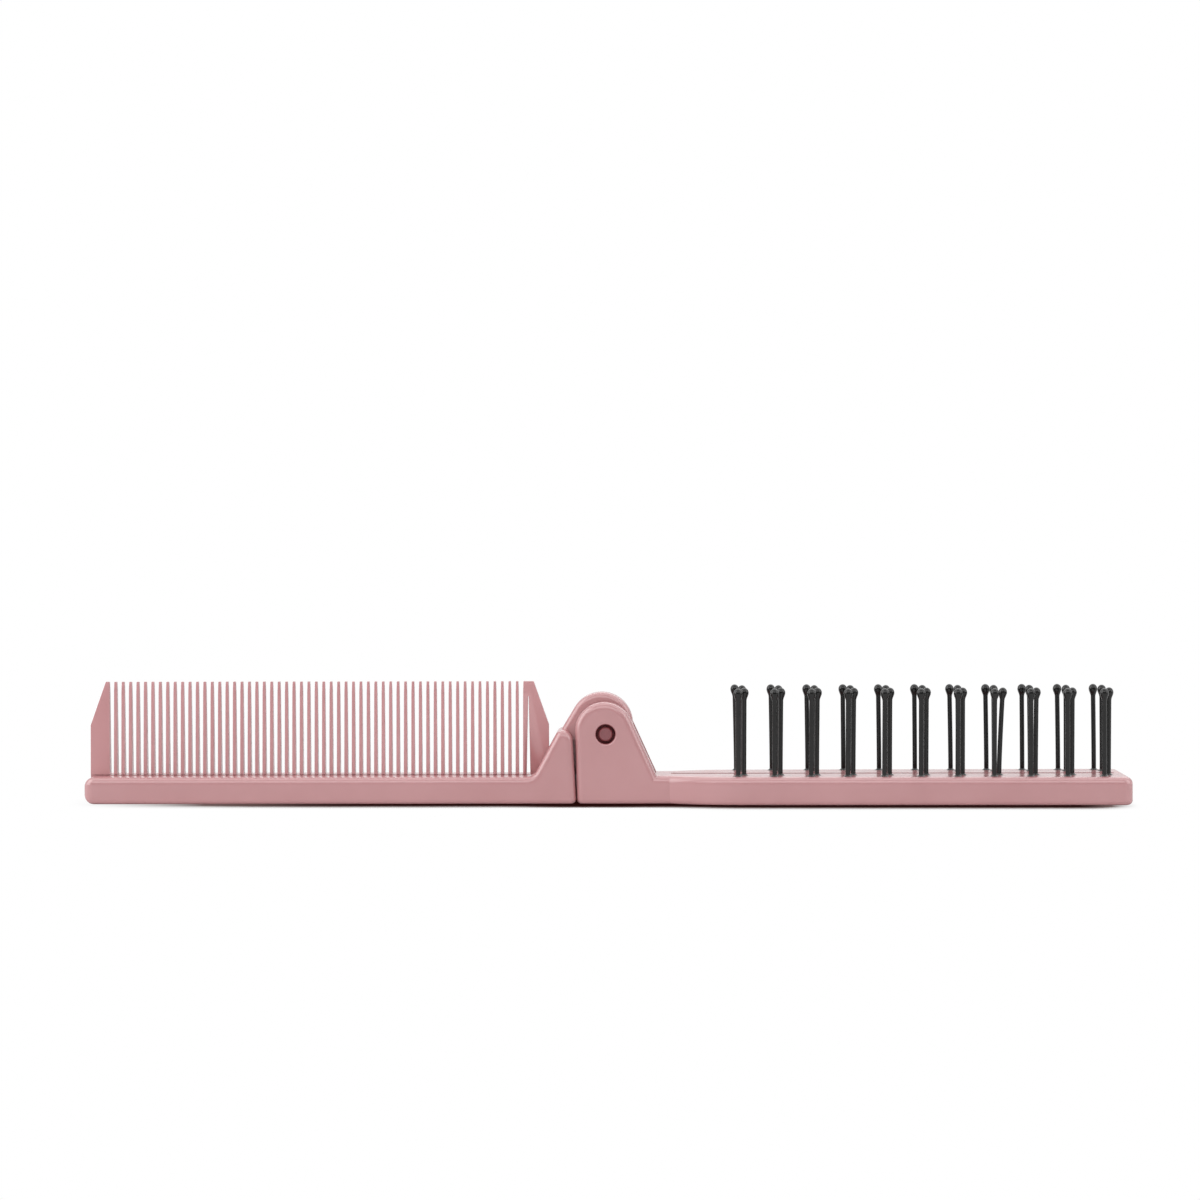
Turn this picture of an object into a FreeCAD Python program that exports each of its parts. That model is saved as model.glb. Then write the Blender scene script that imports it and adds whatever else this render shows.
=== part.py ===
import FreeCAD, Part
import math
import os
import types

import Sketcher

# Folding travel brush: a comb and a pin brush that fold together on one hinge.
# Lengths are in millimetres, angles in degrees.
# X runs along the open object from comb to brush, Y across it, Z up from the table.
# Each body is drawn with its own X measured from the hinge axis, then moved by hinge_place.

sizes = {
    # Both halves
    "comb_reach": 101.0,  # hinge axis to the comb's free end
    "head_reach": 101.0,  # hinge axis to the brush's free end
    "axis_height": 13.45,  # hinge axis above the table
    "hinge_width": 13.5,  # both halves across the hinge
    "edge_round": 1.35,  # softened outer edges
    "base_round": 0.9,  # softened edges on the table side
    "overrun": 2.0,  # how far every cut runs past the faces it opens
    # Hinge pin and its fits
    "pivot_diameter": 3.75,
    "pivot_nose_diameter": 2.6,  # slimmer end that shows in the ear's bore
    "pivot_nose_length": 2.2,
    "pivot_chamfer": 0.2,
    "pivot_recess": 0.45,  # pin end below the ear's outer face
    "pivot_seat_clear": 0.02,  # radial, pin in the ears
    "pivot_run_clear": 0.05,  # radial, pin in the tongue
    "tongue_side_clear": 0.15,  # tongue to each ear
    "swing_clear": 0.2,  # turning ears to the comb's end block
    "heel_clear": 0.2,  # turning heel to the floor between the ears
    "stop_clear": 0.1,  # end faces that meet when the brush is open
    # Ears of the brush
    "ear_round": 5.6,
    "ear_round_back": 0.3,  # centre of the ear's round behind the hinge axis
    "ear_round_rise": 0.55,  # and above it
    "ear_slope": 65.5,  # angle of the ear's flank to the table
    "ear_foot_inset": 0.35,  # how far the ear's end face leans back at the table
    "bore_mouth_round": 0.45,
    # Head of the brush
    "head_height": 5.4,
    "head_width": 22.0,  # at the free end
    "flare_width": 20.6,  # where the flare ends
    "neck_reach": 12.3,  # hinge axis to the crease where the flare starts
    "flare_reach": 26.0,
    "flare_round": 28.0,
    "head_corner_round": 2.0,
    "plate_thickness": 1.8,  # top plate that the pins stand in
    "keel_width": 5.6,  # solid strip under the groove
    "groove_side_clear": 0.25,  # groove wall to the tips of the folded comb
    "groove_floor_clear": 0.05,
    "groove_start": 12.7,
    "groove_end_land": 2.4,
    # Ball pins
    "column_count": 11,
    "first_column": 26.1,
    "column_pitch": 7.025,
    "column_stagger": 0.6,  # inner rows are set this far along, outer rows as far back
    "inner_row": 4.8,
    "outer_row": 7.9,
    "stem_diameter": 0.95,
    "ball_diameter": 1.7,
    "ball_neck_slope": 20.0,  # angle between the stem and the cone under the ball
    "ball_top": 22.3,  # top of the balls above the table
    "collar_diameter": 1.8,
    "collar_drop": 0.05,  # collar top below the plate
    "collar_cone": 0.35,  # height of the cone between collar and stem
    "foot_diameter": 2.4,
    "foot_thickness": 0.8,
    "pin_hole_clear": 0.05,  # radial, collar in its hole
    "foot_clear": 0.1,  # foot to the pocket wall
    # Back cover
    "cover_thickness": 1.2,
    "cover_ledge": 0.6,  # seat at each end of the pockets
    "cover_clear": 0.05,
    "rib_width": 1.4,
    "rib_clear": 0.05,  # ribs to the feet of the pins
    # Comb spine with its end block and tongue
    "spine_thickness": 5.2,
    "spine_corner_round": 2.0,
    "block_round": 2.05,
    "block_round_drop": 9.1,  # angle from the hinge axis down to the centre of that round
    "block_round_end": 81.3,  # angle on the round where the shoulder takes over
    "block_shoulder_extra": 0.15,  # how much rounder the shoulder is than the softened edges
    "block_slope": 61.7,  # angle of the block's slope to the table
    "block_foot_round": 2.2,
    "tongue_thickness": 5.2,
    "tongue_round": 6.1,
    "tongue_round_back": 0.85,
    "tongue_round_rise": 1.75,
    "tongue_slope": 58.9,  # angle of the tongue's flank to the table
    "tongue_drop": 7.9,  # flat underside below the hinge axis
    "tongue_root": 2.9,  # width of the tongue's foot inside the block, and its depth in the spine
    "tongue_edge_round": 1.2,
    "heel_round": 1.4,
    # Comb blade
    "blade_root_thickness": 2.4,
    "blade_tip_thickness": 1.2,
    "blade_seat_thickness": 1.9,  # slimmer foot in the slot of the spine
    "blade_seat": 3.2,  # depth of that slot
    "blade_foot_gap": 0.2,  # open line between the spine and the blade's shoulders
    "blade_clear": 0.03,
    "blade_outer_reach": 100.4,  # hinge axis to the outer guard's edge
    "blade_inner_reach": 11.1,
    "tip_height": 23.4,  # tooth tips above the table
    "guard_shoulder_height": 15.0,  # where the guards start to slant
    "guard_tip_inset": 2.95,
    "gap_count": 56,
    "gap_pitch": 1.45,
    "gap_width": 0.78,  # at the root of the teeth
    "gap_root_rise": 0.1,  # bottom of the gaps above the spine
    "gap_taper": 0.05,  # how much each side of a gap opens on the way up
    "gap_flare_depth": 2.0,
    "gap_flare": 0.06,  # and again at the tips
    "slit_reach": 15.08,  # hinge axis to the slit between the inner guard and the tooth that joins it
    "slit_top_depth": 2.9,  # closed top of that slit below the tips
    "slit_top_width": 0.12,
}

doc = FreeCAD.newDocument("FoldingBrush")
sheet = doc.addObject("Spreadsheet::Sheet", "Sizes")
for line, (alias, number) in enumerate(sizes.items(), start=1):
    sheet.set(f"A{line}", alias)
    sheet.set(f"B{line}", str(number))
    sheet.setAlias(f"B{line}", alias)
doc.recompute()


class Size:
    """A number together with the sheet formula that gives it."""

    def __init__(self, number, formula):
        self.number = float(number)
        self.formula = formula

    def __add__(self, other):
        other = as_size(other)
        return Size(self.number + other.number, f"({self.formula} + {other.formula})")

    def __sub__(self, other):
        other = as_size(other)
        return Size(self.number - other.number, f"({self.formula} - {other.formula})")

    def __mul__(self, other):
        other = as_size(other)
        return Size(self.number * other.number, f"({self.formula} * {other.formula})")

    def __truediv__(self, other):
        other = as_size(other)
        return Size(self.number / other.number, f"({self.formula} / {other.formula})")

    def __neg__(self):
        return Size(-self.number, f"(0 - {self.formula})")


def as_size(value):
    return value if isinstance(value, Size) else Size(value, f"{value}")


def sine(angle):
    return Size(math.sin(math.radians(angle.number)), f"sin({angle.formula})")


def cosine(angle):
    return Size(math.cos(math.radians(angle.number)), f"cos({angle.formula})")


def tangent(angle):
    return Size(math.tan(math.radians(angle.number)), f"tan({angle.formula})")


def hypotenuse(one, other):
    return Size(math.hypot(one.number, other.number), f"sqrt({one.formula}^2 + {other.formula}^2)")


def other_leg(long_side, leg):
    number = math.sqrt(long_side.number**2 - leg.number**2)
    return Size(number, f"sqrt({long_side.formula}^2 - {leg.formula}^2)")


same_place = 1e-6  # two places closer than this are one place
dim = types.SimpleNamespace(**{alias: Size(sheet.get(alias), f"Sizes.{alias}") for alias in sizes})


# Places that more than one piece needs
half_hinge = dim.hinge_width / 2
hinge_place = (dim.comb_reach - dim.head_reach) / 2
ear_reach = dim.ear_round + dim.ear_round_back
ear_foot = ear_reach - dim.ear_foot_inset
ear_sweep = dim.ear_round + hypotenuse(dim.ear_round_back, dim.ear_round_rise)
ear_top = dim.axis_height + dim.ear_round_rise + dim.ear_round
flank_x = dim.ear_round * sine(dim.ear_slope) - dim.ear_round_back
flank_z = dim.axis_height + dim.ear_round_rise + dim.ear_round * cosine(dim.ear_slope)
flank_foot = flank_x + (flank_z - dim.head_height) / tangent(dim.ear_slope)
tongue_front = dim.tongue_round - dim.tongue_round_back
heel_sweep = hypotenuse(tongue_front - dim.heel_round, dim.tongue_drop - dim.heel_round) + dim.heel_round
last_column = dim.first_column + dim.column_pitch * (dim.column_count - 1)
plate_underside = dim.head_height - dim.plate_thickness
foot_radius = dim.foot_diameter / 2
pocket_start = dim.first_column - dim.column_stagger - foot_radius - dim.foot_clear
pocket_end = last_column + dim.column_stagger + foot_radius + dim.foot_clear
pocket_half = dim.outer_row + foot_radius + dim.foot_clear
recess_start = pocket_start - dim.cover_ledge
recess_end = pocket_end + dim.cover_ledge


def body_at_hinge(label):
    body = doc.addObject("PartDesign::Body", label)
    body.Label = label
    return body


def sketch_on(body, plane, name, lift=None):
    sketch = body.newObject("Sketcher::SketchObject", name)
    support = next(item for item in body.Origin.OriginFeatures if item.Role == plane)
    sketch.AttachmentSupport = [(support, "")]
    sketch.MapMode = "FlatFace"
    if lift is not None:
        sketch.AttachmentOffset = FreeCAD.Placement(FreeCAD.Vector(0, 0, lift.number), FreeCAD.Rotation())
        sketch.setExpression("AttachmentOffset.Base.z", lift.formula)
    return sketch


def bind(sketch, constraint, formula):
    index = sketch.addConstraint(constraint)
    name = f"size_{index}"
    sketch.renameConstraint(index, name)
    sketch.setExpression(f"Constraints.{name}", formula)


def pin_point(sketch, edge, end, point):
    """Fix one end of an edge at the named distances from the sketch's origin."""
    across, along = point
    if across is None:
        sketch.addConstraint(Sketcher.Constraint("PointOnObject", edge, end, -2))
    else:
        bind(sketch, Sketcher.Constraint("DistanceX", -1, 1, edge, end, across.number), across.formula)
    if along is None:
        sketch.addConstraint(Sketcher.Constraint("PointOnObject", edge, end, -1))
    else:
        bind(sketch, Sketcher.Constraint("DistanceY", -1, 1, edge, end, along.number), along.formula)


def vector(point):
    return FreeCAD.Vector(*(0 if value is None else value.number for value in point), 0)


def arc_between(start, end, radius):
    """The shorter arc between two points, with its centre on the left of the way from start to end."""
    chord = end - start
    height = math.sqrt(radius**2 - (chord.Length / 2) ** 2)
    left = FreeCAD.Vector(-chord.y, chord.x, 0).normalize()
    centre = (start + end) / 2 + left * height
    circle = Part.Circle(centre, FreeCAD.Vector(0, 0, 1), radius)
    return Part.ArcOfCircle(circle, circle.parameter(start), circle.parameter(end))


def outline(sketch, steps):
    """Draw a closed outline, anticlockwise. A step is (x, y), with None for a place on an axis,
    or (x, y, radius) where the edge that leaves the point is an arc that bulges outwards."""
    first_edge = sketch.GeometryCount
    for index, step in enumerate(steps):
        start = vector(step[:2])
        end = vector(steps[(index + 1) % len(steps)][:2])
        if len(step) == 3:
            sketch.addGeometry(arc_between(start, end, step[2].number))
        else:
            sketch.addGeometry(Part.LineSegment(start, end))
    for index, step in enumerate(steps):
        edge = first_edge + index
        following = first_edge + (index + 1) % len(steps)
        sketch.addConstraint(Sketcher.Constraint("Coincident", edge, 2, following, 1))
        pin_point(sketch, edge, 1, step[:2])
        if len(step) == 3:
            bind(sketch, Sketcher.Constraint("Radius", edge, step[2].number), step[2].formula)


def box_outline(sketch, low_x, high_x, low_y, high_y):
    outline(sketch, [(low_x, low_y), (high_x, low_y), (high_x, high_y), (low_x, high_y)])


def disc(sketch, x, y, radius):
    place = vector((x, y))
    edge = sketch.addGeometry(Part.Circle(place, FreeCAD.Vector(0, 0, 1), radius.number))
    pin_point(sketch, edge, 3, (x, y))
    bind(sketch, Sketcher.Constraint("Radius", edge, radius.number), radius.formula)


def extrude(body, kind, sketch, length, side="One side", reverse=False):
    feature = body.newObject(f"PartDesign::{kind}", f"{sketch.Name}{kind}")
    feature.Profile = sketch
    feature.SideType = side
    feature.Reversed = reverse
    feature.Refine = True
    feature.Length = length.number
    feature.setExpression("Length", length.formula)
    sketch.Visibility = False
    doc.recompute()
    return feature


def row_of(body, feature, count, pitch, reverse):
    """Repeat a cut along X."""
    pattern = body.newObject("PartDesign::LinearPattern", f"{feature.Name}Row")
    pattern.Originals = [feature]
    x_axis = next(item for item in body.Origin.OriginFeatures if item.Role == "X_Axis")
    pattern.Direction = (x_axis, [""])
    pattern.Reversed = reverse
    pattern.Occurrences = int(count.number)
    pattern.setExpression("Occurrences", count.formula)
    length = pitch * (count - 1)
    pattern.Length = length.number
    pattern.setExpression("Length", length.formula)
    body.Tip = pattern
    doc.recompute()
    return pattern


def edge_names(feature, chosen):
    return [f"Edge{i}" for i, edge in enumerate(feature.Shape.Edges, start=1) if chosen(edge)]


def round_edges(body, base, name, radius, chosen):
    fillet = body.newObject("PartDesign::Fillet", name)
    fillet.Base = (base, edge_names(base, chosen))
    fillet.Radius = radius.number
    fillet.setExpression("Radius", radius.formula)
    body.Tip = fillet
    doc.recompute()
    return fillet


def near(value, target):
    return math.isclose(value, target, abs_tol=same_place)


def lies_at(low, high, target):
    """True where an edge's extent along one axis is a single place."""
    return near(low, target) and near(high, target)


def on_side(edge, half_width):
    box = edge.BoundBox
    return lies_at(abs(box.YMin), abs(box.YMax), half_width)


def at_height(edge, height):
    return lies_at(edge.BoundBox.ZMin, edge.BoundBox.ZMax, height)


# Comb spine: the hinge tongue, the bar with its end block, and the slot for the blade
def make_comb_spine():
    body = body_at_hinge("comb_spine")
    round_reach = ear_sweep + dim.swing_clear + dim.block_round
    round_x = -(round_reach * cosine(dim.block_round_drop))
    round_z = dim.axis_height - round_reach * sine(dim.block_round_drop)
    tongue_z = dim.axis_height + dim.tongue_round_rise
    bend_x = -(dim.tongue_round_back + dim.tongue_round * sine(dim.tongue_slope))
    bend_z = tongue_z + dim.tongue_round * cosine(dim.tongue_slope)
    flank_end = round_z + dim.block_round / 2
    root_x = bend_x - (bend_z - flank_end) / tangent(dim.tongue_slope)
    root_z = dim.spine_thickness - dim.tongue_root
    underside = dim.axis_height - dim.tongue_drop
    inside_block = root_x + dim.tongue_root
    tongue = sketch_on(body, "XZ_Plane", "Tongue")
    outline(tongue, [
        (root_x, root_z),
        (inside_block, root_z),
        (inside_block, underside),
        (tongue_front - dim.heel_round, underside, dim.heel_round),
        (tongue_front, underside + dim.heel_round),
        (tongue_front, tongue_z, dim.tongue_round),
        (bend_x, bend_z),
        (root_x, flank_end),
    ])
    blank = extrude(body, "Pad", tongue, dim.tongue_thickness, "Symmetric")
    half_tongue = dim.tongue_thickness / 2
    round_edges(body, blank, "TongueEdges", dim.tongue_edge_round,
                lambda edge: on_side(edge, half_tongue.number))

    shoulder_round = dim.edge_round + dim.block_shoulder_extra
    shoulder_reach = dim.block_round - shoulder_round
    shoulder_x = round_x + shoulder_reach * cosine(dim.block_round_end)
    shoulder_z = round_z + shoulder_reach * sine(dim.block_round_end)
    slope_x = shoulder_x - shoulder_round * sine(dim.block_slope)
    slope_z = shoulder_z + shoulder_round * cosine(dim.block_slope)
    slope_foot = slope_x - (slope_z - dim.spine_thickness) / tangent(dim.block_slope)
    side = sketch_on(body, "XZ_Plane", "SpineSide")
    outline(side, [
        (-dim.comb_reach, None),
        (-(ear_foot + dim.stop_clear), None),
        (round_x + dim.block_round, round_z, dim.block_round),
        (round_x + dim.block_round * cosine(dim.block_round_end),
         round_z + dim.block_round * sine(dim.block_round_end), shoulder_round),
        (slope_x, slope_z),
        (slope_foot, dim.spine_thickness),
        (-dim.comb_reach, dim.spine_thickness),
    ])
    bar = extrude(body, "Pad", side, dim.hinge_width, "Symmetric")

    def at_free_end(edge):
        return lies_at(edge.BoundBox.XMin, edge.BoundBox.XMax, -dim.comb_reach.number)

    def end_corner(edge):
        return at_free_end(edge) and on_side(edge, half_hinge.number)

    def upper_edge(edge):
        if on_side(edge, half_hinge.number):
            return edge.BoundBox.ZMax > dim.spine_thickness.number - same_place
        return at_free_end(edge) and at_height(edge, dim.spine_thickness.number)

    def slope_crease(edge):
        return lies_at(edge.BoundBox.XMin, edge.BoundBox.XMax, slope_foot.number)

    foot = round_edges(body, bar, "BlockFoot", dim.block_foot_round, slope_crease)
    corners = round_edges(body, foot, "SpineCorners", dim.spine_corner_round, end_corner)
    soft = round_edges(body, corners, "SpineEdges", dim.edge_round, upper_edge)
    round_edges(body, soft, "SpineBase", dim.base_round, lambda edge: at_height(edge, 0))

    bore = sketch_on(body, "XZ_Plane", "TongueBore")
    disc(bore, None, dim.axis_height, dim.pivot_diameter / 2 + dim.pivot_run_clear)
    extrude(body, "Pocket", bore, dim.hinge_width, "Symmetric")

    # A narrow slot for the blade's foot, and a wider one where the blade runs into the end block
    slots = {
        "BladeSlot": (dim.spine_thickness - dim.blade_seat, dim.blade_seat_thickness),
        "BlockSlot": (dim.spine_thickness + dim.blade_foot_gap - dim.blade_clear, dim.blade_root_thickness),
    }
    slot_start = -(dim.blade_outer_reach + dim.blade_clear)
    slot_end = -(dim.blade_inner_reach - dim.blade_clear)
    for name, (floor, thickness) in slots.items():
        slot_half = thickness / 2 + dim.blade_clear
        slot = sketch_on(body, "XY_Plane", name, floor)
        box_outline(slot, slot_start, slot_end, -slot_half, slot_half)
        extrude(body, "Pocket", slot, dim.tip_height, reverse=True)
    return body


# Comb blade: a flat plate with a guard at each end, a slit beside the inner one and a row of gaps
def make_comb_blade():
    body = body_at_hinge("comb_blade")
    seat = dim.spine_thickness - dim.blade_seat
    root = dim.spine_thickness + dim.gap_root_rise
    shoulder = dim.spine_thickness + dim.blade_foot_gap
    section = sketch_on(body, "YZ_Plane", "BladeSection", -dim.blade_outer_reach)
    half_seat = dim.blade_seat_thickness / 2
    half_root = dim.blade_root_thickness / 2
    half_tip = dim.blade_tip_thickness / 2
    outline(section, [
        (-half_seat, seat),
        (half_seat, seat),
        (half_seat, shoulder),
        (half_root, shoulder),
        (half_tip, dim.tip_height),
        (-half_tip, dim.tip_height),
        (-half_root, shoulder),
        (-half_seat, shoulder),
    ])
    extrude(body, "Pad", section, dim.blade_outer_reach - dim.blade_inner_reach)

    above = dim.tip_height + dim.overrun
    slants = sketch_on(body, "XZ_Plane", "GuardSlants")
    for edge_x, inwards in ((-dim.blade_outer_reach, 1), (-dim.blade_inner_reach, -1)):
        tip_x = edge_x + dim.guard_tip_inset * inwards
        clear_x = edge_x - dim.overrun * inwards
        points = [
            (edge_x, dim.guard_shoulder_height),
            (tip_x, dim.tip_height),
            (tip_x, above),
            (clear_x, above),
            (clear_x, dim.guard_shoulder_height),
        ]
        outline(slants, points if inwards > 0 else points[::-1])
    extrude(body, "Pocket", slants, dim.hinge_width, "Symmetric")

    half_gap = dim.gap_width / 2
    half_top = dim.slit_top_width / 2
    slit_x = -dim.slit_reach
    slit_top = dim.tip_height - dim.slit_top_depth
    slit = sketch_on(body, "XZ_Plane", "GuardSlit")
    outline(slit, [
        (slit_x - half_gap, root),
        (slit_x + half_gap, root),
        (slit_x + half_top, slit_top),
        (slit_x - half_top, slit_top),
    ])
    extrude(body, "Pocket", slit, dim.hinge_width, "Symmetric")

    gap = sketch_on(body, "XZ_Plane", "ToothGap")
    half_wide = half_gap + dim.gap_taper
    flare = half_wide + dim.gap_flare
    centre = slit_x - dim.gap_pitch
    flare_start = dim.tip_height - dim.gap_flare_depth
    outline(gap, [
        (centre - half_gap, root),
        (centre + half_gap, root),
        (centre + half_wide, flare_start),
        (centre + flare, dim.tip_height),
        (centre + flare, above),
        (centre - flare, above),
        (centre - flare, dim.tip_height),
        (centre - half_wide, flare_start),
    ])
    cut = extrude(body, "Pocket", gap, dim.hinge_width, "Symmetric")
    row_of(body, cut, dim.gap_count, dim.gap_pitch, reverse=True)
    return body


# Brush body: flared head with two ears, a groove for the comb tips and pockets for the pin feet
def make_brush_body():
    body = body_at_hinge("brush_body")
    half_flare = dim.flare_width / 2
    half_head = dim.head_width / 2
    corner = dim.head_corner_round
    plan = sketch_on(body, "XY_Plane", "HeadPlan")
    outline(plan, [
        (None, -half_hinge),
        (dim.neck_reach, -half_hinge, dim.flare_round),
        (dim.flare_reach, -half_flare),
        (dim.head_reach - corner, -half_head, corner),
        (dim.head_reach, corner - half_head),
        (dim.head_reach, half_head - corner, corner),
        (dim.head_reach - corner, half_head),
        (dim.flare_reach, half_flare, dim.flare_round),
        (dim.neck_reach, half_hinge),
        (None, half_hinge),
    ])
    extrude(body, "Pad", plan, dim.head_height)

    ears = sketch_on(body, "XZ_Plane", "Ears")
    outline(ears, [
        (-ear_foot, None),
        (flank_foot, None),
        (flank_foot, dim.head_height),
        (flank_x, flank_z, dim.ear_round),
        (-ear_reach, dim.axis_height + dim.ear_round_rise),
    ])
    eared = extrude(body, "Pad", ears, dim.hinge_width, "Symmetric")

    def upper_edge(edge):
        box = edge.BoundBox
        if at_height(edge, dim.head_height.number):
            runs_across = near(box.XMin, box.XMax)
            return not runs_across or near(box.XMax, dim.head_reach.number)
        return on_side(edge, half_hinge.number) and box.ZMax > dim.head_height.number + same_place

    soft = round_edges(body, eared, "HeadEdges", dim.edge_round, upper_edge)
    round_edges(body, soft, "HeadBase", dim.base_round, lambda edge: at_height(edge, 0))

    slot_radius = heel_sweep + dim.heel_clear
    slot_floor = dim.axis_height - slot_radius
    slot_end = other_leg(slot_radius, dim.axis_height - dim.head_height)
    left = -(ear_reach + dim.overrun)
    right = flank_foot + dim.overrun
    above = ear_top + dim.overrun
    slot = sketch_on(body, "XZ_Plane", "EarSlot")
    outline(slot, [
        (left, slot_floor),
        (None, slot_floor, slot_radius),
        (slot_end, dim.head_height),
        (right, dim.head_height),
        (right, above),
        (left, above),
    ])
    extrude(body, "Pocket", slot, dim.tongue_thickness + dim.tongue_side_clear * 2, "Symmetric")

    bore = sketch_on(body, "XZ_Plane", "EarBore")
    disc(bore, None, dim.axis_height, dim.pivot_diameter / 2 + dim.pivot_seat_clear)
    bored = extrude(body, "Pocket", bore, dim.hinge_width + dim.overrun, "Symmetric")
    round_edges(body, bored, "BoreMouths", dim.bore_mouth_round,
                lambda edge: edge.isClosed() and on_side(edge, half_hinge.number))

    groove_depth = dim.head_height + dim.tip_height - dim.axis_height * 2 + dim.groove_floor_clear
    half_groove = dim.blade_tip_thickness / 2 + dim.groove_side_clear
    groove = sketch_on(body, "XY_Plane", "TipGroove", dim.head_height)
    box_outline(groove, dim.groove_start, dim.head_reach - dim.groove_end_land, -half_groove, half_groove)
    extrude(body, "Pocket", groove, groove_depth)

    recess = sketch_on(body, "XY_Plane", "CoverRecess")
    box_outline(recess, recess_start, recess_end, -pocket_half, pocket_half)
    extrude(body, "Pocket", recess, dim.cover_thickness, reverse=True)
    half_keel = dim.keel_width / 2
    pockets = sketch_on(body, "XY_Plane", "FootPockets")
    box_outline(pockets, pocket_start, pocket_end, -pocket_half, -half_keel)
    box_outline(pockets, pocket_start, pocket_end, half_keel, pocket_half)
    extrude(body, "Pocket", pockets, plate_underside, reverse=True)

    holes = sketch_on(body, "XY_Plane", "PinHoles", dim.head_height + dim.overrun)
    for row_y, stagger in pin_rows().values():
        disc(holes, dim.first_column + stagger, row_y, dim.collar_diameter / 2 + dim.pin_hole_clear)
    column = extrude(body, "Pocket", holes, dim.plate_thickness + dim.overrun * 2)
    row_of(body, column, dim.column_count, dim.column_pitch, reverse=False)
    return body


# Rows of pins: name, place across the head and stagger along it
def pin_rows():
    return {
        "near_outer": (-dim.outer_row, -dim.column_stagger),
        "near_inner": (-dim.inner_row, dim.column_stagger),
        "far_inner": (dim.inner_row, dim.column_stagger),
        "far_outer": (dim.outer_row, -dim.column_stagger),
    }


# Back cover: a plate flush with the underside, with ribs that hold the feet of the pins up
def make_back_cover():
    body = body_at_hinge("back_cover")
    plate = sketch_on(body, "XY_Plane", "CoverPlate")
    half_cover = pocket_half - dim.cover_clear
    box_outline(plate, recess_start + dim.cover_clear, recess_end - dim.cover_clear, -half_cover, half_cover)
    extrude(body, "Pad", plate, dim.cover_thickness)
    ribs = sketch_on(body, "XY_Plane", "CoverRibs", dim.cover_thickness)
    half_rib = dim.rib_width / 2
    for row_y in (-dim.outer_row, -dim.inner_row, dim.inner_row, dim.outer_row):
        box_outline(ribs, pocket_start + dim.foot_clear, pocket_end - dim.foot_clear,
                    row_y - half_rib, row_y + half_rib)
    rib_height = plate_underside - dim.foot_thickness - dim.rib_clear - dim.cover_thickness
    extrude(body, "Pad", ribs, rib_height)
    return body


# Hinge pin: a plain plastic pin with a slim, chamfered nose at each end, sunk in the ears
def make_hinge_pin():
    body = body_at_hinge("hinge_pin")
    length = dim.hinge_width - dim.pivot_recess * 2
    section = sketch_on(body, "XZ_Plane", "PivotSection")
    disc(section, None, dim.axis_height, dim.pivot_diameter / 2)
    extrude(body, "Pad", section, length - dim.pivot_nose_length * 2, "Symmetric")
    nose = sketch_on(body, "XZ_Plane", "PivotNose")
    disc(nose, None, dim.axis_height, dim.pivot_nose_diameter / 2)
    noses = extrude(body, "Pad", nose, length, "Symmetric")
    half_length = length / 2
    chamfer = body.newObject("PartDesign::Chamfer", "PivotChamfer")
    chamfer.Base = (noses, edge_names(noses, lambda edge: on_side(edge, half_length.number)))
    chamfer.Size = dim.pivot_chamfer.number
    chamfer.setExpression("Size", dim.pivot_chamfer.formula)
    body.Tip = chamfer
    doc.recompute()
    return body


# Ball pin: foot under the plate, collar in the hole, slim stem, cone and round tip
def make_pin_profile():
    foot_top = plate_underside
    foot_bottom = foot_top - dim.foot_thickness
    collar_top = dim.head_height - dim.collar_drop
    stem = dim.stem_diameter / 2
    collar = dim.collar_diameter / 2
    ball = dim.ball_diameter / 2
    ball_start_x = ball * cosine(dim.ball_neck_slope)
    ball_start_z = dim.ball_top - ball - ball * sine(dim.ball_neck_slope)
    neck_start = ball_start_z - (ball_start_x - stem) / tangent(dim.ball_neck_slope)
    profile = doc.addObject("Sketcher::SketchObject", "PinProfile")
    profile.Placement = FreeCAD.Placement(FreeCAD.Vector(), FreeCAD.Rotation(FreeCAD.Vector(1, 0, 0), 90))
    outline(profile, [
        (None, foot_bottom),
        (foot_radius, foot_bottom),
        (foot_radius, foot_top),
        (collar, foot_top),
        (collar, collar_top),
        (stem, collar_top + dim.collar_cone),
        (stem, neck_start),
        (ball_start_x, ball_start_z, ball),
        (None, dim.ball_top),
    ])
    return profile


def make_pins():
    profile = make_pin_profile()
    pins = []
    for row, (row_y, stagger) in pin_rows().items():
        for column in range(int(dim.column_count.number)):
            pin = doc.addObject("Part::Revolution", f"pin_{row}_{column + 1:02d}")
            pin.Label = f"pin_{row}_{column + 1:02d}"
            pin.Source = profile
            pin.Axis = FreeCAD.Vector(0, 0, 1)
            pin.Solid = True
            along = dim.first_column + dim.column_pitch * column + stagger
            place_at_hinge(pin, along, row_y)
            pins.append(pin)
    doc.recompute()
    return pins


def place_at_hinge(piece, along, across=None):
    piece.setExpression("Placement.Base.x", (hinge_place + along).formula)
    if across is not None:
        piece.setExpression("Placement.Base.y", across.formula)


pieces = [make_comb_spine(), make_comb_blade(), make_brush_body(), make_back_cover(), make_hinge_pin()]
for piece in pieces:
    place_at_hinge(piece, as_size(0))
pieces += make_pins()
doc.recompute()

# Nothing is written unless every object is sound
for item in doc.Objects:
    if "Invalid" in item.State or "Error" in item.State:
        raise RuntimeError(f"{item.Label} failed: {item.State}")
for piece in pieces:
    shape = piece.Shape
    if shape.isNull() or not shape.isValid() or len(shape.Solids) != 1:
        raise RuntimeError(f"{piece.Label} is not one sound solid")

os.makedirs("parts", exist_ok=True)
for piece in pieces:
    piece.Shape.exportStep(f"parts/{piece.Label}.step")
box = Part.makeCompound([piece.Shape for piece in pieces]).optimalBoundingBox()
print(f"{len(pieces)} pieces, {box.XLength:.2f} x {box.YLength:.2f} x {box.ZLength:.2f} mm")
print(f"hinge axis at X {hinge_place.number:.3f}, Z {dim.axis_height.number:.3f}")
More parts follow.
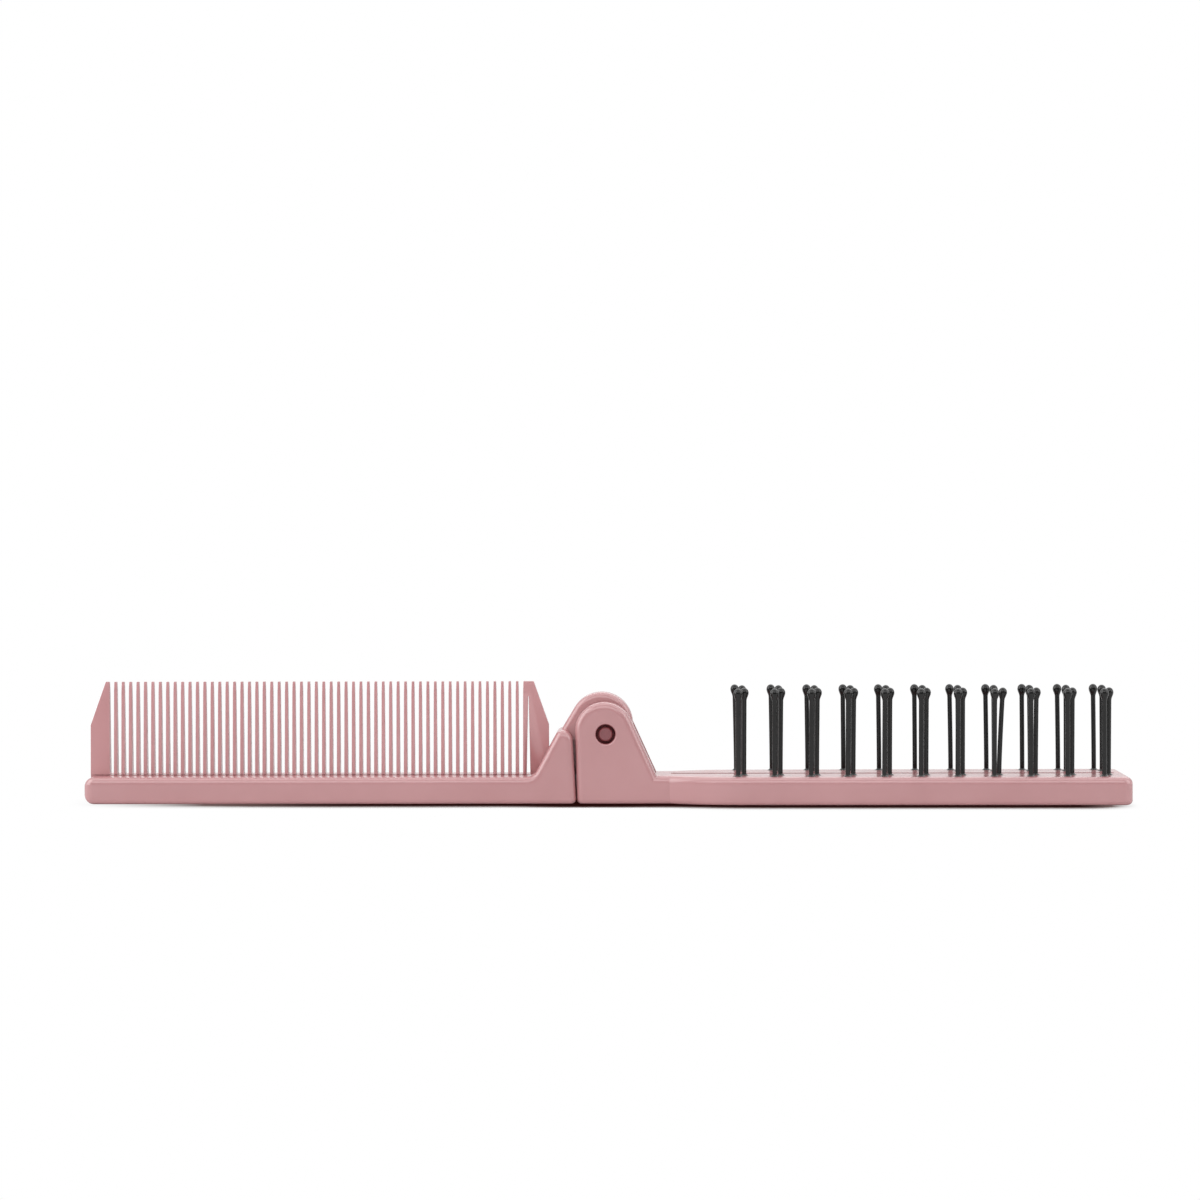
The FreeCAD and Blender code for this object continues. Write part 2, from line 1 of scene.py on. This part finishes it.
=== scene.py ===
import math
import bmesh
import bpy
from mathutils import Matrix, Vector


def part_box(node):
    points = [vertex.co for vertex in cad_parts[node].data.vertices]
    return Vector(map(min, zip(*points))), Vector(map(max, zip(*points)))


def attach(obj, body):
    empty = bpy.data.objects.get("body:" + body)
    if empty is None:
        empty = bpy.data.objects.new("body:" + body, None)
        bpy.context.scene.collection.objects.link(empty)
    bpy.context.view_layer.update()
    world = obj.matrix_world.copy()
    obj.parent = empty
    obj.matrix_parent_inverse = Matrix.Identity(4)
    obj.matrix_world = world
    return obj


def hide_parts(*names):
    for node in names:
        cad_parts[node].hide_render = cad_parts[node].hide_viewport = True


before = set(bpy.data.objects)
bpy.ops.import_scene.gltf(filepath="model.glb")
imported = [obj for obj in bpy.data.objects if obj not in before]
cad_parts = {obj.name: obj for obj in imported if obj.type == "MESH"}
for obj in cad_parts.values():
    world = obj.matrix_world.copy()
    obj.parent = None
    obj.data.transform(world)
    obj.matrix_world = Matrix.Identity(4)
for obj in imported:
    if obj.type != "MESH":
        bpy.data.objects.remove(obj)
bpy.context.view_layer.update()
scene = bpy.context.scene
scene.view_settings.view_transform = "Standard"
mm = 0.001


def linear(hexColour):  # sRGB hex to linear
    channels = [int(hexColour[i:i + 2], 16) / 255 for i in (1, 3, 5)]
    return [c / 12.92 if c <= 0.04045 else ((c + 0.055) / 1.055) ** 2.4 for c in channels] + [1]


def perMetre(sizeMm):  # texture scale for a pattern of this size
    return 1 / (sizeMm * mm)


def addNode(tree, kind, values=None, links=None, **settings):
    node = tree.nodes.new(kind)
    for name, value in settings.items():
        setattr(node, name, value)
    for socket, value in (values or {}).items():
        node.inputs[socket].default_value = value
    for socket, source in (links or {}).items():
        tree.links.new(source, node.inputs[socket])
    return node


def newMaterial(name):
    material = bpy.data.materials.new(name)
    material.use_nodes = True
    material.node_tree.nodes.clear()
    return material, material.node_tree


def newPiece(name, mesh):
    piece = bpy.data.objects.new(name, mesh)
    scene.collection.objects.link(piece)
    return piece


# camera: long lens from the near side, a little above the table
camera = {
    "place": (9.6, -656.75, 57.8),  # mm
    "lens": 101.4,
    "sensor": 36,
    "near": 0.01,  # metres, what is nearer or farther isn't drawn
    "far": 50,
    "down": 1.625,  # degrees
    "left": 0.93,
    "roll": 0.14,
}
cameraData = bpy.data.cameras.new("camera")
cameraData.lens = camera["lens"]
cameraData.sensor_width = camera["sensor"]
cameraData.clip_start = camera["near"]
cameraData.clip_end = camera["far"]
cameraObject = newPiece("camera", cameraData)
cameraObject.location = Vector(camera["place"]) * mm
cameraTurns = (90 - camera["down"], camera["roll"], camera["left"])
cameraObject.rotation_euler = [math.radians(turn) for turn in cameraTurns]
scene.camera = cameraObject
print("camera set")


def hingeDistance(tree, coords, axisHeight):  # how far a point is from the hinge axis
    fromAxis = addNode(tree, "ShaderNodeVectorMath", {1: (0, 0, axisHeight * mm)}, {0: coords},
                       operation="SUBTRACT")
    sideways = addNode(tree, "ShaderNodeVectorMath", {1: (1, 0, 1)}, {0: fromAxis.outputs[0]},
                       operation="MULTIPLY")
    radius = addNode(tree, "ShaderNodeVectorMath", links={0: sideways.outputs[0]}, operation="LENGTH")
    return radius.outputs["Value"]


# ABS, moulded in a polished mould: an even dusty pink with faint pigment clouds, a soft
# highlight that smears of handling blur a little, and a very shallow ripple from the cooling;
# the faces that meet at the hinge and the walls of the bore are matt, with shade painted on them as a deeper
# red
pinkAbs = {
    "deep": "#C28C8E",
    "pale": "#C89395",
    "cloudSize": 16,  # mm
    "cloudDetail": 3,
    "cloudLow": 0.3,
    "cloudHigh": 0.7,
    "smearSize": 6,
    "smearDetail": 5,
    "roughLow": 0.17,
    "roughHigh": 0.26,
    "rippleSize": 5,
    "rippleDetail": 1,
    "rippleDepth": 0.006,
    "ior": 1.53,
    "shine": 1.0,
    "inner": "#A14E54",
    "innerRough": 0.65,
    "seamPlace": -5.6,  # mm along X, at the table
    "seamLean": 0.025,
    "seamTop": 12.3,  # mm
    "seamShare": 0.3,
    "seamNear": 0.12,  # matt and painted with shade as far as this from the seam
    "seamFar": 0.35,
    "boreHeight": 13.45,
    "boreNear": 1.93,
    "boreFar": 2.0,
}


def makeAbs(name, look):
    material, tree = newMaterial(name)
    coords = addNode(tree, "ShaderNodeTexCoord").outputs["Object"]
    clouds = addNode(tree, "ShaderNodeTexNoise",
                     {"Scale": perMetre(look["cloudSize"]), "Detail": look["cloudDetail"]},
                     {"Vector": coords})
    pigment = addNode(tree, "ShaderNodeValToRGB", links={"Fac": clouds.outputs["Fac"]})
    pigment.color_ramp.elements[0].position = look["cloudLow"]
    pigment.color_ramp.elements[0].color = linear(look["deep"])
    pigment.color_ramp.elements[1].position = look["cloudHigh"]
    pigment.color_ramp.elements[1].color = linear(look["pale"])
    smears = addNode(tree, "ShaderNodeTexNoise",
                     {"Scale": perMetre(look["smearSize"]), "Detail": look["smearDetail"]},
                     {"Vector": coords})
    rough = addNode(tree, "ShaderNodeMapRange",
                    {"From Min": look["cloudLow"], "From Max": look["cloudHigh"],
                     "To Min": look["roughLow"], "To Max": look["roughHigh"]},
                    {"Value": smears.outputs["Fac"]})
    ripple = addNode(tree, "ShaderNodeTexNoise",
                     {"Scale": perMetre(look["rippleSize"]), "Detail": look["rippleDetail"]},
                     {"Vector": coords})
    relief = addNode(tree, "ShaderNodeBump", {"Distance": look["rippleDepth"] * mm},
                     {"Height": ripple.outputs["Fac"]})
    # painted shade: low down in the gap between block and ear the faces are coloured a deeper red where shade
    # falls
    sloped = addNode(tree, "ShaderNodeVectorMath", {1: (1, 0, look["seamLean"])}, {0: coords},
                     operation="DOT_PRODUCT")
    along = addNode(tree, "ShaderNodeMath", {1: look["seamPlace"] * mm}, {0: sloped.outputs["Value"]},
                    operation="SUBTRACT")
    away = addNode(tree, "ShaderNodeMath", links={0: along.outputs[0]}, operation="ABSOLUTE")
    seam = addNode(tree, "ShaderNodeMapRange",
                   {"From Min": look["seamNear"] * mm, "From Max": look["seamFar"] * mm,
                    "To Min": look["seamShare"], "To Max": 0},
                   {"Value": away.outputs[0]})
    height = addNode(tree, "ShaderNodeSeparateXYZ", links={0: coords}).outputs["Z"]
    low = addNode(tree, "ShaderNodeMath", {1: look["seamTop"] * mm}, {0: height}, operation="LESS_THAN")
    joint = addNode(tree, "ShaderNodeMath", links={0: seam.outputs[0], 1: low.outputs[0]},
                    operation="MULTIPLY")
    # painted shade: the wall of the bore is coloured the same deeper red
    bore = addNode(tree, "ShaderNodeMapRange",
                   {"From Min": look["boreNear"] * mm, "From Max": look["boreFar"] * mm,
                    "To Min": 1, "To Max": 0},
                   {"Value": hingeDistance(tree, coords, look["boreHeight"])})
    paintedShadeMask = addNode(tree, "ShaderNodeMath", links={0: joint.outputs[0], 1: bore.outputs[0]},
                     operation="MAXIMUM")
    # Mix takes its colours in sockets 6 and 7 and its numbers in 2 and 3
    colour = addNode(tree, "ShaderNodeMix", {7: linear(look["inner"])},
                     {0: paintedShadeMask.outputs[0], 6: pigment.outputs["Color"]}, data_type="RGBA")
    gloss = addNode(tree, "ShaderNodeMix", {3: look["innerRough"]},
                    {0: paintedShadeMask.outputs[0], 2: rough.outputs["Result"]}, data_type="FLOAT")
    shader = addNode(tree, "ShaderNodeBsdfPrincipled",
                     {"IOR": look["ior"], "Specular IOR Level": look["shine"]},
                     {"Base Color": colour.outputs[2], "Roughness": gloss.outputs[0],
                      "Normal": relief.outputs["Normal"]})
    addNode(tree, "ShaderNodeOutputMaterial", links={"Surface": shader.outputs["BSDF"]})
    return material


pinkBody = makeAbs("pinkMouldedAbs", pinkAbs)

# the same ABS, thinner: the light that shines through the teeth is painted in as a paler pink
thinAbs = dict(pinkAbs, deep="#C99193", pale="#CF989A")
pinkBlade = makeAbs("pinkThinAbs", thinAbs)

# acetal, turned from rod: a deeper pink, plain and waxy, with faint tool rings on its ends,
# and shade painted as a dark red in the ring round its nose
pinkAcetal = {
    "deep": "#8A5458",
    "pale": "#925C60",
    "ring": "#A14E54",
    "noseNear": 6.15,  # mm from the middle, the ring's painted shade lies deeper than this
    "noseFar": 6.25,
    "axisHeight": 13.45,
    "toolPitch": 0.3,  # mm, coarser than real so that it shows
    "toolDepth": 0.01,
    "roughLow": 0.38,
    "roughHigh": 0.46,
    "ior": 1.48,
}


def makeAcetal(name, look):
    material, tree = newMaterial(name)
    coords = addNode(tree, "ShaderNodeTexCoord").outputs["Object"]
    phase = addNode(tree, "ShaderNodeMath", {1: math.tau * perMetre(look["toolPitch"])},
                    {0: hingeDistance(tree, coords, look["axisHeight"])}, operation="MULTIPLY")
    tool = addNode(tree, "ShaderNodeMath", links={0: phase.outputs[0]}, operation="SINE")
    relief = addNode(tree, "ShaderNodeBump", {"Distance": look["toolDepth"] * mm},
                     {"Height": tool.outputs[0]})
    pigment = addNode(tree, "ShaderNodeValToRGB", links={"Fac": tool.outputs[0]})
    pigment.color_ramp.elements[0].color = linear(look["deep"])
    pigment.color_ramp.elements[1].color = linear(look["pale"])
    rough = addNode(tree, "ShaderNodeMapRange",
                    {"From Min": -1, "To Min": look["roughLow"], "To Max": look["roughHigh"]},
                    {"Value": tool.outputs[0]})
    across = addNode(tree, "ShaderNodeSeparateXYZ", links={0: coords}).outputs["Y"]
    depth = addNode(tree, "ShaderNodeMath", links={0: across}, operation="ABSOLUTE")
    # painted shade: the part of the pin deep in the bore is coloured dark red
    paintedShadeMask = addNode(tree, "ShaderNodeMapRange",
                     {"From Min": look["noseNear"] * mm, "From Max": look["noseFar"] * mm,
                      "To Min": 1, "To Max": 0},
                     {"Value": depth.outputs[0]})
    colour = addNode(tree, "ShaderNodeMix", {7: linear(look["ring"])},
                     {0: paintedShadeMask.outputs[0], 6: pigment.outputs["Color"]}, data_type="RGBA")
    shader = addNode(tree, "ShaderNodeBsdfPrincipled", {"IOR": look["ior"]},
                     {"Base Color": colour.outputs[2], "Roughness": rough.outputs["Result"],
                      "Normal": relief.outputs["Normal"]})
    addNode(tree, "ShaderNodeOutputMaterial", links={"Surface": shader.outputs["BSDF"]})
    return material


pinkPivot = makeAcetal("pinkTurnedAcetal", pinkAcetal)

# nylon, moulded and tumbled: near black with a waxy shine and hairline rub marks along the pin
blackNylon = {
    "deep": "#080707",
    "worn": "#141312",
    "rubLow": 0.4,
    "rubHigh": 0.8,
    "rubWidth": 0.3,  # mm
    "rubLength": 5.0,
    "rubDetail": 3,
    "roughLow": 0.1,
    "roughHigh": 0.18,
    "shine": 0.45,
    "ior": 1.53,
}


def makeNylon(name, look):
    material, tree = newMaterial(name)
    coords = addNode(tree, "ShaderNodeTexCoord").outputs["Object"]
    across, along = perMetre(look["rubWidth"]), perMetre(look["rubLength"])
    drawn = addNode(tree, "ShaderNodeMapping", {"Scale": (across, across, along)}, {"Vector": coords})
    rubs = addNode(tree, "ShaderNodeTexNoise", {"Scale": 1, "Detail": look["rubDetail"]},
                   {"Vector": drawn.outputs["Vector"]})
    colour = addNode(tree, "ShaderNodeValToRGB", links={"Fac": rubs.outputs["Fac"]})
    colour.color_ramp.elements[0].position = look["rubLow"]
    colour.color_ramp.elements[0].color = linear(look["deep"])
    colour.color_ramp.elements[1].position = look["rubHigh"]
    colour.color_ramp.elements[1].color = linear(look["worn"])
    rough = addNode(tree, "ShaderNodeMapRange", {"To Min": look["roughLow"], "To Max": look["roughHigh"]},
                    {"Value": rubs.outputs["Fac"]})
    shader = addNode(tree, "ShaderNodeBsdfPrincipled",
                     {"IOR": look["ior"], "Specular IOR Level": look["shine"]},
                     {"Base Color": colour.outputs["Color"], "Roughness": rough.outputs["Result"]})
    addNode(tree, "ShaderNodeOutputMaterial", links={"Surface": shader.outputs["BSDF"]})
    return material


nylon = makeNylon("blackTumbledNylon", blackNylon)
for node in ("comb_spine", "brush_body", "back_cover"):
    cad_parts[node].material_slots[0].material = pinkBody
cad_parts["comb_blade"].material_slots[0].material = pinkBlade
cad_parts["hinge_pin"].material_slots[0].material = pinkPivot
print("materials made")


# comb blade: the moulded plate with the edges of its teeth and guards softened
combBlade = {
    "soften": 0.16,  # mm
    "segments": 3,
    "roundness": 0.5,
    "merge": 0.001,  # mm, corners closer than this are one corner
    "flat": 1.0,  # degrees, faces closer than this are one face
    "foot": 5.45,  # mm, the outer edges above this are softened
    "sharp": 35,  # degrees
}


def makeCombBlade(look):
    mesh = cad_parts["comb_blade"].data.copy()
    shell = bmesh.new()
    shell.from_mesh(mesh)
    bmesh.ops.remove_doubles(shell, verts=shell.verts, dist=look["merge"] * mm)
    bmesh.ops.dissolve_limit(shell, angle_limit=math.radians(look["flat"]), verts=shell.verts,
                             edges=shell.edges)
    exposed = [edge for edge in shell.edges
               if edge.is_convex and max(vert.co.z for vert in edge.verts) > look["foot"] * mm]
    bmesh.ops.bevel(shell, geom=exposed, affect="EDGES", offset=look["soften"] * mm,
                    segments=look["segments"], profile=look["roundness"], clamp_overlap=True)
    for face in shell.faces:
        face.smooth = True
    shell.to_mesh(mesh)
    shell.free()
    mesh.set_sharp_from_angle(angle=math.radians(look["sharp"]))
    mesh.materials.clear()
    mesh.materials.append(pinkBlade)
    piece = newPiece("softened_comb_blade", mesh)
    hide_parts("comb_blade")
    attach(piece, "comb")
    return piece


blade = makeCombBlade(combBlade)
print("comb blade softened:", len(blade.data.polygons), "faces")


# ball pins: one moulded pin, set in every hole of the top plate and bent a little each its own way
ballPin = {
    "footRadius": 1.2,  # mm
    "footBottom": 2.8,
    "footTop": 3.6,
    "collarRadius": 0.9,
    "collarTop": 5.35,
    "coneTop": 5.7,
    "stemRadius": 0.46,
    "stemSteps": 8,
    "neckLength": 1.5,
    "neckSteps": 7,
    "ballRadius": 0.85,
    "ballRise": 0.98,  # widest place to the top
    "ballSteps": 6,
    "ballTop": 22.3,
    "segments": 24,
    "merge": 0.002,  # corners closer than this are one corner
}


def makeBallPin(look):
    widest = look["ballTop"] - look["ballRise"]
    neck = widest - look["neckLength"]
    profile = [(0, look["footBottom"]), (look["footRadius"], look["footBottom"]),
               (look["footRadius"], look["footTop"]), (look["collarRadius"], look["footTop"]),
               (look["collarRadius"], look["collarTop"])]
    for step in range(look["stemSteps"]):
        share = step / look["stemSteps"]
        profile.append((look["stemRadius"], look["coneTop"] + (neck - look["coneTop"]) * share))
    for step in range(look["neckSteps"]):
        share = step / look["neckSteps"]
        swell = (1 - math.cos(math.pi * share)) / 2
        profile.append((look["stemRadius"] + (look["ballRadius"] - look["stemRadius"]) * swell,
                        neck + look["neckLength"] * share))
    for step in range(look["ballSteps"] + 1):
        turn = math.pi / 2 * step / look["ballSteps"]
        profile.append((look["ballRadius"] * math.cos(turn), widest + look["ballRise"] * math.sin(turn)))
    shell = bmesh.new()
    points = [shell.verts.new((radius * mm, 0, height * mm)) for radius, height in profile]
    edges = [shell.edges.new(pair) for pair in zip(points, points[1:])]
    bmesh.ops.spin(shell, geom=points + edges, cent=(0, 0, 0), axis=(0, 0, 1), angle=math.tau,
                   steps=look["segments"], use_merge=True)
    bmesh.ops.remove_doubles(shell, verts=shell.verts, dist=look["merge"] * mm)
    bmesh.ops.recalc_face_normals(shell, faces=shell.faces)
    for face in shell.faces:
        face.smooth = True
    mesh = bpy.data.meshes.new("ballPin")
    shell.to_mesh(mesh)
    shell.free()
    return mesh


# field of pins: the rows lean a little, one pin is bent, and each strays by itself
pinField = {
    "rowLean": {  # mm along X, at the tip
        "near_outer": 0.0,
        "near_inner": 0.08,
        "far_inner": -0.1,
        "far_outer": -0.2,
    },
    "bentPin": {"pin_near_inner_08": 0.7},
    "columns": 11,
    "spread": 0.1,
    "curl": 1.3,
    "seed": 7,
    "sharp": 40,  # degrees
}


def pinFieldTree():
    tree = bpy.data.node_groups.new("pinField", "GeometryNodeTree")
    tree.interface.new_socket("Places", in_out="INPUT", socket_type="NodeSocketGeometry")
    tree.interface.new_socket("Pin", in_out="INPUT", socket_type="NodeSocketObject")
    for name in ("Plate Height", "Pin Height", "Curl", "Spread"):
        tree.interface.new_socket(name, in_out="INPUT", socket_type="NodeSocketFloat")
    tree.interface.new_socket("Seed", in_out="INPUT", socket_type="NodeSocketInt")
    tree.interface.new_socket("Finish", in_out="INPUT", socket_type="NodeSocketMaterial")
    tree.interface.new_socket("Pins", in_out="OUTPUT", socket_type="NodeSocketGeometry")
    given = addNode(tree, "NodeGroupInput").outputs
    pin = addNode(tree, "GeometryNodeObjectInfo", {"As Instance": True}, {"Object": given["Pin"]})
    low = addNode(tree, "ShaderNodeMath", {0: 0}, {1: given["Spread"]}, operation="SUBTRACT")
    low3 = addNode(tree, "ShaderNodeCombineXYZ", links={"X": low.outputs[0], "Y": low.outputs[0]})
    high3 = addNode(tree, "ShaderNodeCombineXYZ", links={"X": given["Spread"], "Y": given["Spread"]})
    stray = addNode(tree, "FunctionNodeRandomValue", data_type="FLOAT_VECTOR",
                    links={"Min": low3.outputs[0], "Max": high3.outputs[0], "Seed": given["Seed"]})
    lean = addNode(tree, "GeometryNodeInputNamedAttribute", {"Name": "lean"}, data_type="FLOAT_VECTOR")
    both = addNode(tree, "ShaderNodeVectorMath", operation="ADD",
                   links={0: lean.outputs["Attribute"], 1: stray.outputs["Value"]})
    leaning = addNode(tree, "GeometryNodeStoreNamedAttribute", {"Name": "lean"}, data_type="FLOAT_VECTOR",
                      links={"Geometry": given["Places"], "Value": both.outputs[0]})
    turn = addNode(tree, "FunctionNodeRandomValue", {"Max": math.tau}, {"Seed": given["Seed"]},
                   data_type="FLOAT")
    turned = addNode(tree, "ShaderNodeCombineXYZ", links={"Z": turn.outputs[1]})
    standing = addNode(tree, "GeometryNodeInstanceOnPoints",
                       links={"Points": leaning.outputs[0], "Instance": pin.outputs["Geometry"],
                              "Rotation": turned.outputs[0]})
    real = addNode(tree, "GeometryNodeRealizeInstances", links={"Geometry": standing.outputs[0]})
    place = addNode(tree, "GeometryNodeInputPosition")
    height = addNode(tree, "ShaderNodeSeparateXYZ", links={0: place.outputs[0]})
    free = addNode(tree, "ShaderNodeMapRange", {"To Min": 0, "To Max": 1},
                   {"Value": height.outputs["Z"], "From Min": given["Plate Height"],
                    "From Max": given["Pin Height"]})
    bend = addNode(tree, "ShaderNodeMath", links={0: free.outputs[0], 1: given["Curl"]}, operation="POWER")
    kept = addNode(tree, "GeometryNodeInputNamedAttribute", {"Name": "lean"}, data_type="FLOAT_VECTOR")
    shift = addNode(tree, "ShaderNodeVectorMath", operation="SCALE",
                    links={0: kept.outputs["Attribute"], "Scale": bend.outputs[0]})
    bent = addNode(tree, "GeometryNodeSetPosition",
                   links={"Geometry": real.outputs[0], "Offset": shift.outputs[0]})
    done = addNode(tree, "GeometryNodeSetMaterial",
                   links={"Geometry": bent.outputs[0], "Material": given["Finish"]})
    addNode(tree, "NodeGroupOutput", links={"Pins": done.outputs[0]})
    return tree


def setInput(modifier, name, value):
    for item in modifier.node_group.interface.items_tree:
        if item.item_type == "SOCKET" and item.in_out == "INPUT" and item.name == name:
            modifier[item.identifier] = value


def asMesh(piece):  # the finished piece as a plain mesh
    evaluated = piece.evaluated_get(bpy.context.evaluated_depsgraph_get())
    plain = bpy.data.meshes.new_from_object(evaluated)
    piece.modifiers.clear()
    piece.data = plain
    return plain


def makePinField(look):
    template = newPiece("pinTemplate", makeBallPin(ballPin))
    nodes = []
    places = []
    leans = []
    for row, rowLean in look["rowLean"].items():
        for column in range(1, look["columns"] + 1):
            node = f"pin_{row}_{column:02d}"
            low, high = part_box(node)
            nodes.append(node)
            places.append(((low.x + high.x) / 2, (low.y + high.y) / 2, 0))
            leans.append((look["bentPin"].get(node, rowLean) * mm, 0, 0))
    mesh = bpy.data.meshes.new("pinPlaces")
    mesh.from_pydata(places, [], [])
    attribute = mesh.attributes.new("lean", "FLOAT_VECTOR", "POINT")
    attribute.data.foreach_set("vector", [value for lean in leans for value in lean])
    field = newPiece("ball_pins", mesh)
    modifier = field.modifiers.new("pinField", "NODES")
    modifier.node_group = pinFieldTree()
    setInput(modifier, "Pin", template)
    setInput(modifier, "Plate Height", ballPin["coneTop"] * mm)
    setInput(modifier, "Pin Height", ballPin["ballTop"] * mm)
    setInput(modifier, "Curl", look["curl"])
    setInput(modifier, "Spread", look["spread"] * mm)
    setInput(modifier, "Seed", look["seed"])
    setInput(modifier, "Finish", nylon)
    plain = asMesh(field)
    plain.set_sharp_from_angle(angle=math.radians(look["sharp"]))
    bpy.data.objects.remove(template)
    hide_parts(*nodes)
    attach(field, "brush")
    return field


pins = makePinField(pinField)
print("pins set:", len(pins.data.polygons), "faces")


# studio: white table with a short contact shadow painted where little sky reaches it, white room,
# soft lamps on all sides
studio = {
    "tableHalf": 4.0,  # metres
    "tableDrop": 0.00002,
    "tableColour": "#F0F0F0",
    "shadowColour": "#240C0A",
    "shadowTint": "#74605E",
    "shadowMiddle": 0.45,  # share of the fade where that tint is
    "shadowReach": 10,  # mm
    "shadowSamples": 32,
    "shadowDark": 0.77,  # how open the table is where the shadow is full, and where it ends
    "shadowEnd": 0.97,
    "shadowLeft": (-106, -45),  # mm, the shadow grows along the comb
    "shadowRight": (90, 102.5),  # and fades towards the end of the brush
    "roomFill": 0.26,
    "roomGloss": (0.25, 1.0),  # what the gloss mirrors in front and behind
    "roomTurn": (-0.9, -0.1),  # where the front ends, as a share of the way across
    "lamps": {
        "leftSoftbox": {"place": (-0.85, -0.22, 0.5), "size": (0.9, 0.9), "power": 5.2},
        "rightSoftbox": {"place": (0.8, -0.25, 0.5), "size": (0.7, 0.7), "power": 2.25},
        "overheadSoftbox": {"place": (0.0, 0.0, 0.9), "size": (1.5, 0.5), "power": 2.1},
        "frontSoftbox": {"place": (0.0, -0.9, 0.75), "size": (1.2, 0.5), "power": 3.5},
        "backSoftbox": {"place": (0.15, 0.75, 0.7), "size": (1.2, 0.5), "power": 2.8},
    },
}


def makeTable(look):
    half = look["tableHalf"]
    mesh = bpy.data.meshes.new("table")
    corners = [(-half, -half), (half, -half), (half, half), (-half, half)]
    mesh.from_pydata([(x, y, -look["tableDrop"]) for x, y in corners], [], [(0, 1, 2, 3)])
    material, tree = newMaterial("whiteTable")
    paint = addNode(tree, "ShaderNodeBsdfDiffuse", {"Color": linear(look["tableColour"])})
    sky = addNode(tree, "ShaderNodeAmbientOcclusion", {"Distance": look["shadowReach"] * mm},
                  samples=look["shadowSamples"])
    # painted shadow: what the camera sees of the table darkens with the occlusion and fades towards both ends
    under = addNode(tree, "ShaderNodeMapRange",
                    {"From Min": look["shadowDark"], "From Max": look["shadowEnd"], "To Min": 1, "To Max": 0},
                    {"Value": sky.outputs["AO"]})
    coords = addNode(tree, "ShaderNodeTexCoord").outputs["Object"]
    along = addNode(tree, "ShaderNodeSeparateXYZ", links={0: coords}).outputs["X"]
    shade = under.outputs[0]
    for (low, high), ends in ((look["shadowLeft"], (0, 1)), (look["shadowRight"], (1, 0))):
        fade = addNode(tree, "ShaderNodeMapRange",
                       {"From Min": low * mm, "From Max": high * mm, "To Min": ends[0], "To Max": ends[1]},
                       {"Value": along}, interpolation_type="SMOOTHSTEP")
        both = addNode(tree, "ShaderNodeMath", links={0: shade, 1: fade.outputs[0]}, operation="MULTIPLY")
        shade = both.outputs[0]
    shadow = addNode(tree, "ShaderNodeValToRGB", links={"Fac": shade})
    shadow.color_ramp.elements[0].color = (1, 1, 1, 1)
    shadow.color_ramp.elements[1].color = linear(look["shadowColour"])
    shadow.color_ramp.elements.new(look["shadowMiddle"]).color = linear(look["shadowTint"])
    seen = addNode(tree, "ShaderNodeEmission", links={"Color": shadow.outputs["Color"]})
    rays = addNode(tree, "ShaderNodeLightPath")
    either = addNode(tree, "ShaderNodeMixShader",
                     links={0: rays.outputs["Is Camera Ray"], 1: paint.outputs[0], 2: seen.outputs[0]})
    addNode(tree, "ShaderNodeOutputMaterial", links={"Surface": either.outputs[0]})
    mesh.materials.append(material)
    newPiece("table", mesh)


def makeRoom(look):
    world = bpy.data.worlds.new("whiteRoom")
    world.use_nodes = True
    tree = world.node_tree
    tree.nodes.clear()
    rays = addNode(tree, "ShaderNodeLightPath")
    way = addNode(tree, "ShaderNodeTexCoord").outputs["Generated"]
    across = addNode(tree, "ShaderNodeSeparateXYZ", links={0: way}).outputs["Y"]
    gloss = addNode(tree, "ShaderNodeMapRange",
                    {"From Min": look["roomTurn"][0], "From Max": look["roomTurn"][1],
                     "To Min": look["roomGloss"][0], "To Max": look["roomGloss"][1]},
                    {"Value": across}, interpolation_type="SMOOTHSTEP")
    mirrored = addNode(tree, "ShaderNodeMapRange", {"To Min": look["roomFill"]},
                       {"Value": rays.outputs["Is Glossy Ray"], "To Max": gloss.outputs[0]})
    strength = addNode(tree, "ShaderNodeMath", operation="MAXIMUM",
                       links={0: mirrored.outputs[0], 1: rays.outputs["Is Camera Ray"]})
    room = addNode(tree, "ShaderNodeBackground", {"Color": (1, 1, 1, 1)}, {"Strength": strength.outputs[0]})
    addNode(tree, "ShaderNodeOutputWorld", links={"Surface": room.outputs[0]})
    scene.world = world


def makeLamp(name, look):
    lampData = bpy.data.lights.new(name, "AREA")
    lampData.shape = "RECTANGLE"
    lampData.size, lampData.size_y = look["size"]
    lampData.energy = look["power"]
    lamp = newPiece(name, lampData)
    lamp.location = look["place"]
    lamp.rotation_euler = (-Vector(look["place"])).to_track_quat("-Z", "Y").to_euler()


makeTable(studio)
makeRoom(studio)
for lampName, lampLook in studio["lamps"].items():
    makeLamp(lampName, lampLook)
print("studio lit")
